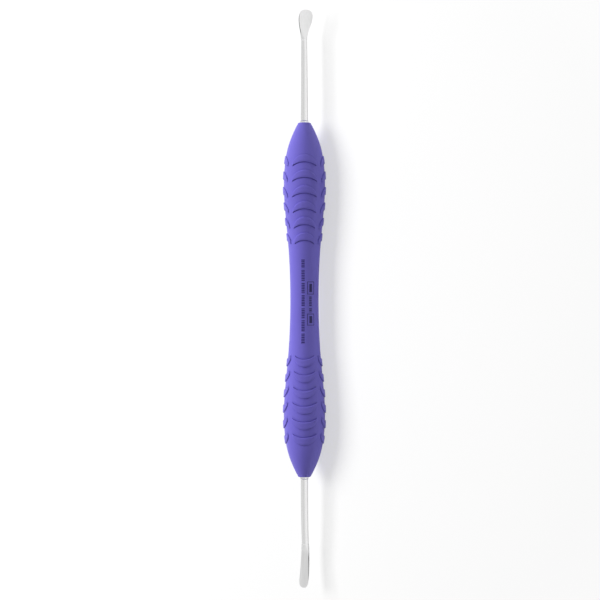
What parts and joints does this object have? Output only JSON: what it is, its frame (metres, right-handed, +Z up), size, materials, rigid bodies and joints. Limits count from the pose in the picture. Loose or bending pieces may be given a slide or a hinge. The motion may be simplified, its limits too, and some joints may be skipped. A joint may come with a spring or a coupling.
{
  "type": "periosteal elevator",
  "caption": "Double-ended periosteal elevator: a soft waisted grip with rows of raised crescent pads over a metal core, and a wide and a narrow dished spoon blade on slim shanks.",
  "frame": {"origin": "centre of the bounding box, at the surface the instrument lies on", "axes": "+Y along the instrument towards the tip of the wide blade, +Z up from the surface, the dished faces of both blades towards +X and +Z"},
  "size_m": [0.0118, 0.16, 0.0118],
  "materials": {
    "soft_grip": "matt moulded silicone, violet",
    "core_metal": "fine turned",
    "blade_steel": "polished shanks, satin ground blades"
  },
  "bodies": {
    "root": {"grip_sleeve": "soft_grip", "handle_core": "core_metal", "working_end_wide": "blade_steel", "working_end_narrow": "blade_steel"}
  },
  "joints": []
}
